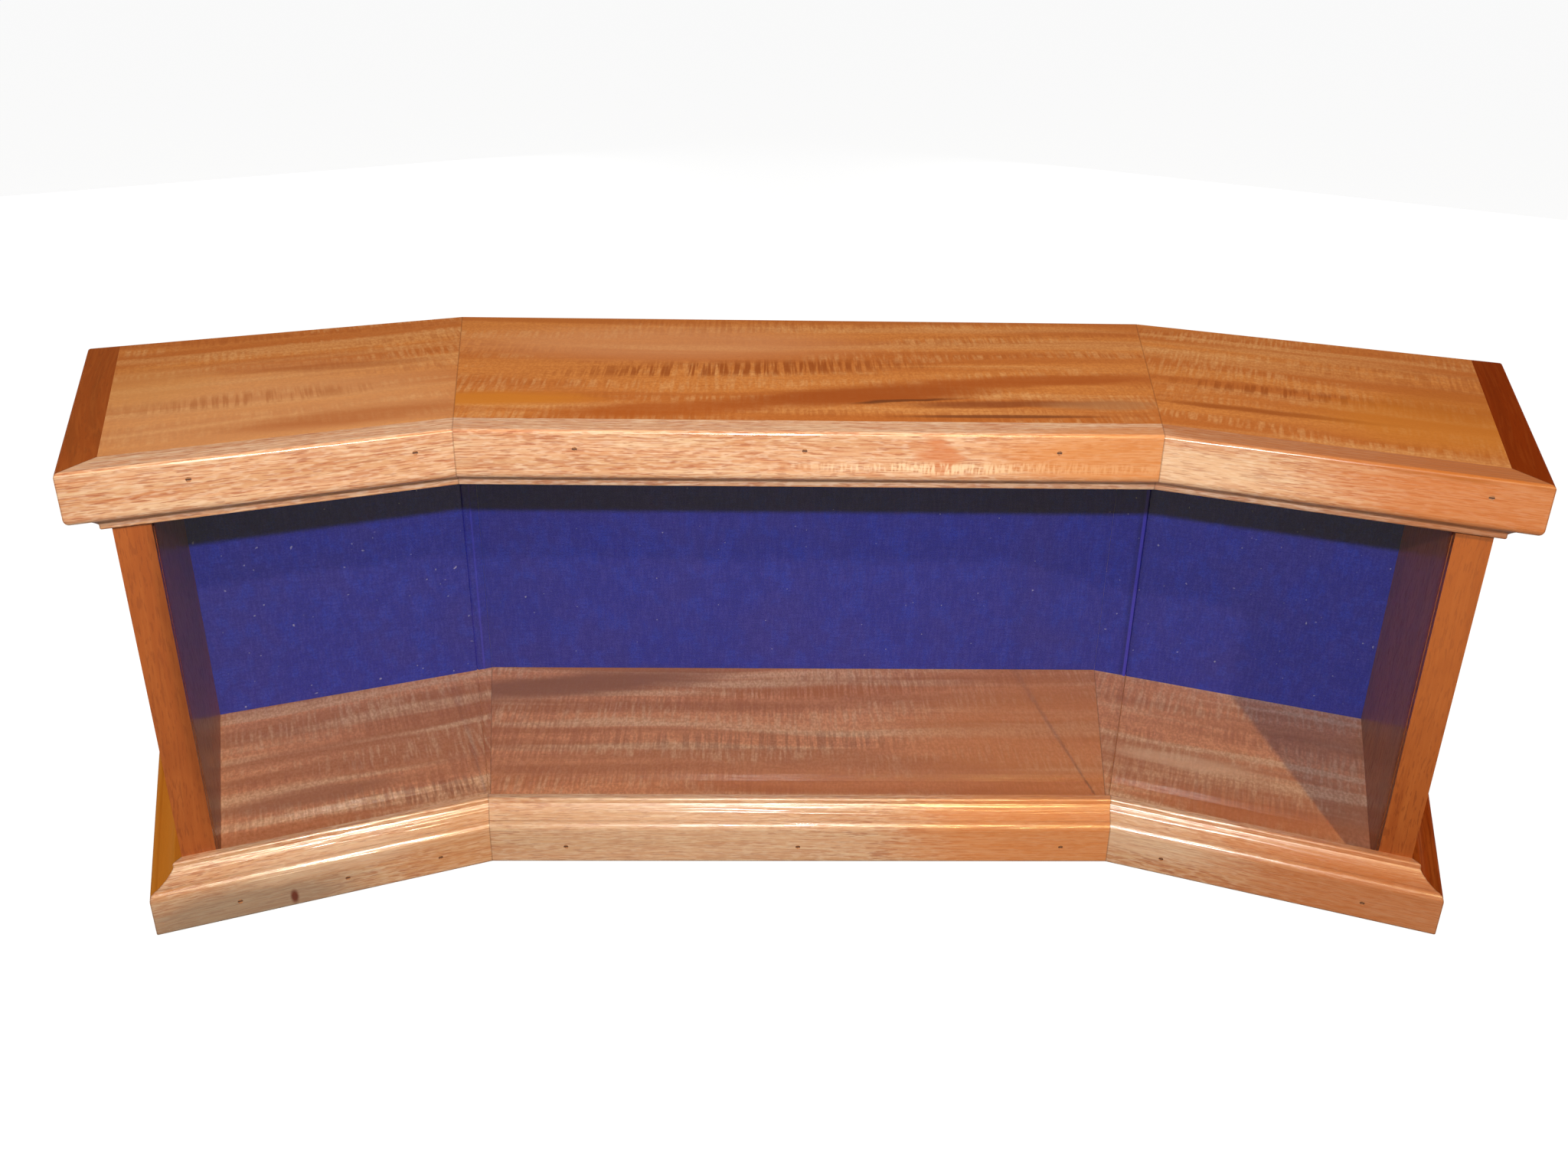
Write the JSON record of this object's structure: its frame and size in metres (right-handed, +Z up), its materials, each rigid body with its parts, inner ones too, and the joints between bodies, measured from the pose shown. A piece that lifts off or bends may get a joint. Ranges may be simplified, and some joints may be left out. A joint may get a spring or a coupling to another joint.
{
  "type": "fishing lure display case",
  "caption": "Long wooden display case with a middle bay and two wings turned towards the front, glazed fronts, moulded top and foot, felt-lined back and a rear door",
  "frame": {"origin": "on the underside, below the middle of the middle bay", "axes": "+X to the right seen from the front, +Y to the back, +Z up"},
  "size_m": [0.867, 0.2914, 0.28],
  "materials": {
    "top_wood": "figured light hardwood under gloss varnish",
    "moulding_wood": "flecked light hardwood under gloss varnish",
    "floor_wood": "figured hardwood under satin varnish",
    "side_wood": "plain reddish hardwood under satin varnish",
    "end_wood": "darker reddish hardwood under gloss varnish",
    "plywood": "sanded birch plywood, unvarnished",
    "glass": "clear float glass",
    "felt": "short-napped dark blue felt",
    "hinge_brass": "pressed and rolled brass, lightly tarnished",
    "screw_brass": "turned brass",
    "knob_brass": "turned and polished brass",
    "dark_steel": "darkened steel wire"
  },
  "bodies": {
    "case": {"top_board_left": "top_wood", "top_board_centre": "top_wood", "top_board_right": "top_wood", "floor_board_left": "floor_wood", "floor_board_centre": "floor_wood", "floor_board_right": "floor_wood", "side_panel_left": "side_wood", "side_panel_right": "side_wood", "crown_moulding_left": "moulding_wood", "crown_moulding_centre": "moulding_wood", "crown_moulding_right": "moulding_wood", "base_moulding_left": "moulding_wood", "base_moulding_centre": "moulding_wood", "base_moulding_right": "moulding_wood", "crown_end_left": "end_wood", "crown_end_right": "end_wood", "base_end_left": "end_wood", "base_end_right": "end_wood", "glass_pane_left": "glass", "felt_lining_left": "felt", "glass_pane_centre": "glass", "glass_pane_right": "glass", "felt_lining_right": "felt", "back_panel_left": "plywood", "back_panel_right": "plywood", "hinge_leaf_case_lower": "hinge_brass", "hinge_pin_lower": "hinge_brass", "hinge_leaf_case_upper": "hinge_brass", "hinge_pin_upper": "hinge_brass", "case_leaf_screws": "screw_brass", "turn_button_screw_top": "screw_brass", "turn_button_screw_bottom": "screw_brass", "crown_brads": "dark_steel", "base_brads": "dark_steel"},
    "rear_door": {"rear_door_panel": "plywood", "felt_lining_centre": "felt", "door_leaf_screws": "screw_brass", "door_knob": "knob_brass", "hinge_leaf_door_lower": "hinge_brass", "hinge_leaf_door_upper": "hinge_brass"},
    "button_top": {"turn_button_top": "hinge_brass"},
    "button_bottom": {"turn_button_bottom": "hinge_brass"}
  },
  "joints": [
    {"name": "rear_door_hinge", "type": "hinge", "parent": "case", "child": "rear_door", "pos_m": [-0.2245, 0.0982, 0.14], "axis": [0, 0, 1], "range_deg": [0, 120]},
    {"name": "button_top_pivot", "type": "hinge", "parent": "case", "child": "button_top", "pos_m": [0.14893, 0.0953, 0.271], "axis": [0, 1, 0], "range_deg": [0, 90]},
    {"name": "button_bottom_pivot", "type": "hinge", "parent": "case", "child": "button_bottom", "pos_m": [0.14893, 0.0953, 0.009], "axis": [0, 1, 0], "range_deg": [0, 90]}
  ]
}
